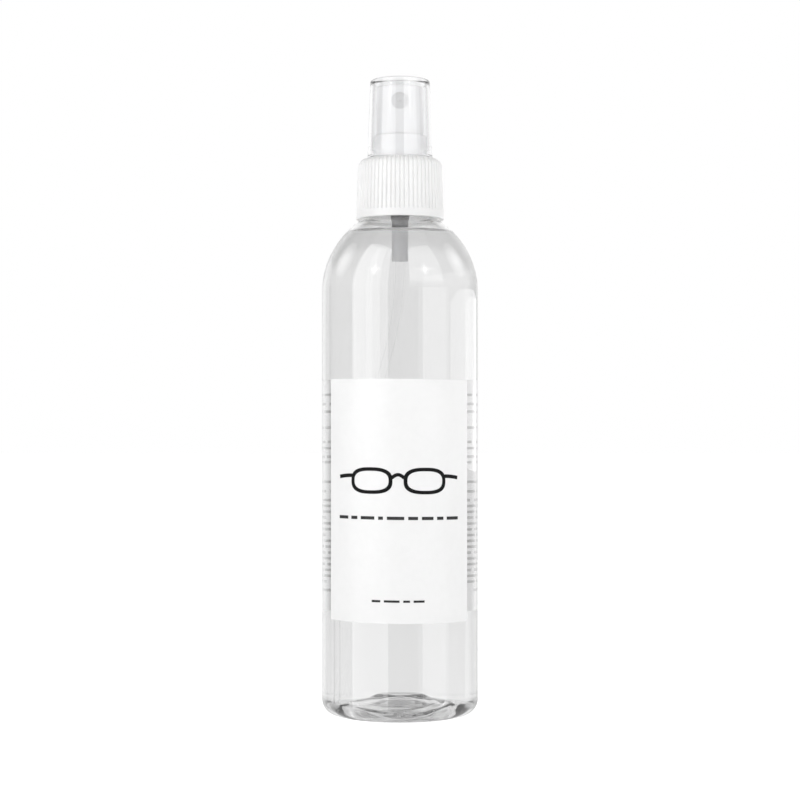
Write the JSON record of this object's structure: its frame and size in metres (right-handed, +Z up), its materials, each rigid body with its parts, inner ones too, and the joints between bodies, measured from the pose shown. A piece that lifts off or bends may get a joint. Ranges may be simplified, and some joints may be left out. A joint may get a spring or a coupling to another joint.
{
  "type": "lens cleaning spray",
  "caption": "Clear round spray bottle with a ribbed screw collar, finger mist pump, dip tube and clear overcap, filled with lens cleaning fluid.",
  "frame": {"origin": "centre of the standing ring under the bottle, on the surface that it stands on", "axes": "+Z up along the bottle's axis, towards the overcap; -Y towards the front label and the nozzle"},
  "size_m": [0.05, 0.0502, 0.2023],
  "materials": {
    "clear_pet": "polished",
    "clear_fluid": "polished",
    "label_film": "satin",
    "gasket_foam": "matte",
    "white_plastic": "satin",
    "natural_plastic": "satin",
    "insert_plastic": "satin",
    "seal_rubber": "matte",
    "steel": "polished",
    "tube_plastic": "satin",
    "clear_cap": "gloss"
  },
  "bodies": {
    "container": {"bottle": "clear_pet", "cleaning_fluid": "clear_fluid", "front_label": "label_film", "back_label": "label_film"},
    "pump_body": {"neck_gasket": "gasket_foam", "pump_housing": "natural_plastic", "pump_turret": "white_plastic", "stem_seal": "seal_rubber", "ball_retainer": "natural_plastic", "return_spring": "steel", "dip_tube": "tube_plastic"},
    "collar": {"screw_collar": "white_plastic"},
    "stem": {"lower_stem": "natural_plastic", "upper_stem": "natural_plastic"},
    "piston": {"pump_piston": "natural_plastic"},
    "button": {"actuator_button": "white_plastic", "nozzle_insert": "insert_plastic"},
    "ball": {"inlet_ball": "steel"},
    "cap": {"overcap": "clear_cap"}
  },
  "joints": [
    {"name": "pump_lift", "type": "slide", "parent": "container", "child": "pump_body", "axis": [0, 0, 1], "range_m": [0, 0.00476], "deforming": ["cleaning_fluid"]},
    {"name": "collar_unscrew", "type": "hinge", "parent": "pump_body", "child": "collar", "pos_m": [0, 0, 0.1675], "axis": [0, 0, 1], "range_deg": [0, 540]},
    {"name": "actuator_press", "type": "slide", "parent": "pump_body", "child": "stem", "axis": [0, 0, -1], "range_m": [0, 0.005], "stiffness_N_per_m": 1500, "springref_m": -0.003, "deforming": ["return_spring"]},
    {"name": "piston_lag", "type": "slide", "parent": "stem", "child": "piston", "axis": [0, 0, 1], "range_m": [0, 0.0006]},
    {"name": "button_swivel", "type": "hinge", "parent": "stem", "child": "button", "pos_m": [0, 0, 0.19], "axis": [0, 0, 1], "continuous": true},
    {"name": "ball_lift", "type": "slide", "parent": "pump_body", "child": "ball", "axis": [0, 0, 1], "range_m": [0, 0.0007]},
    {"name": "cap_off", "type": "slide", "parent": "pump_body", "child": "cap", "axis": [0, 0, 1], "range_m": [0, 0.03]}
  ],
  "couplings": [
    {"joint": "collar_unscrew", "follows": "pump_lift", "rad_per_m": 1979}
  ]
}
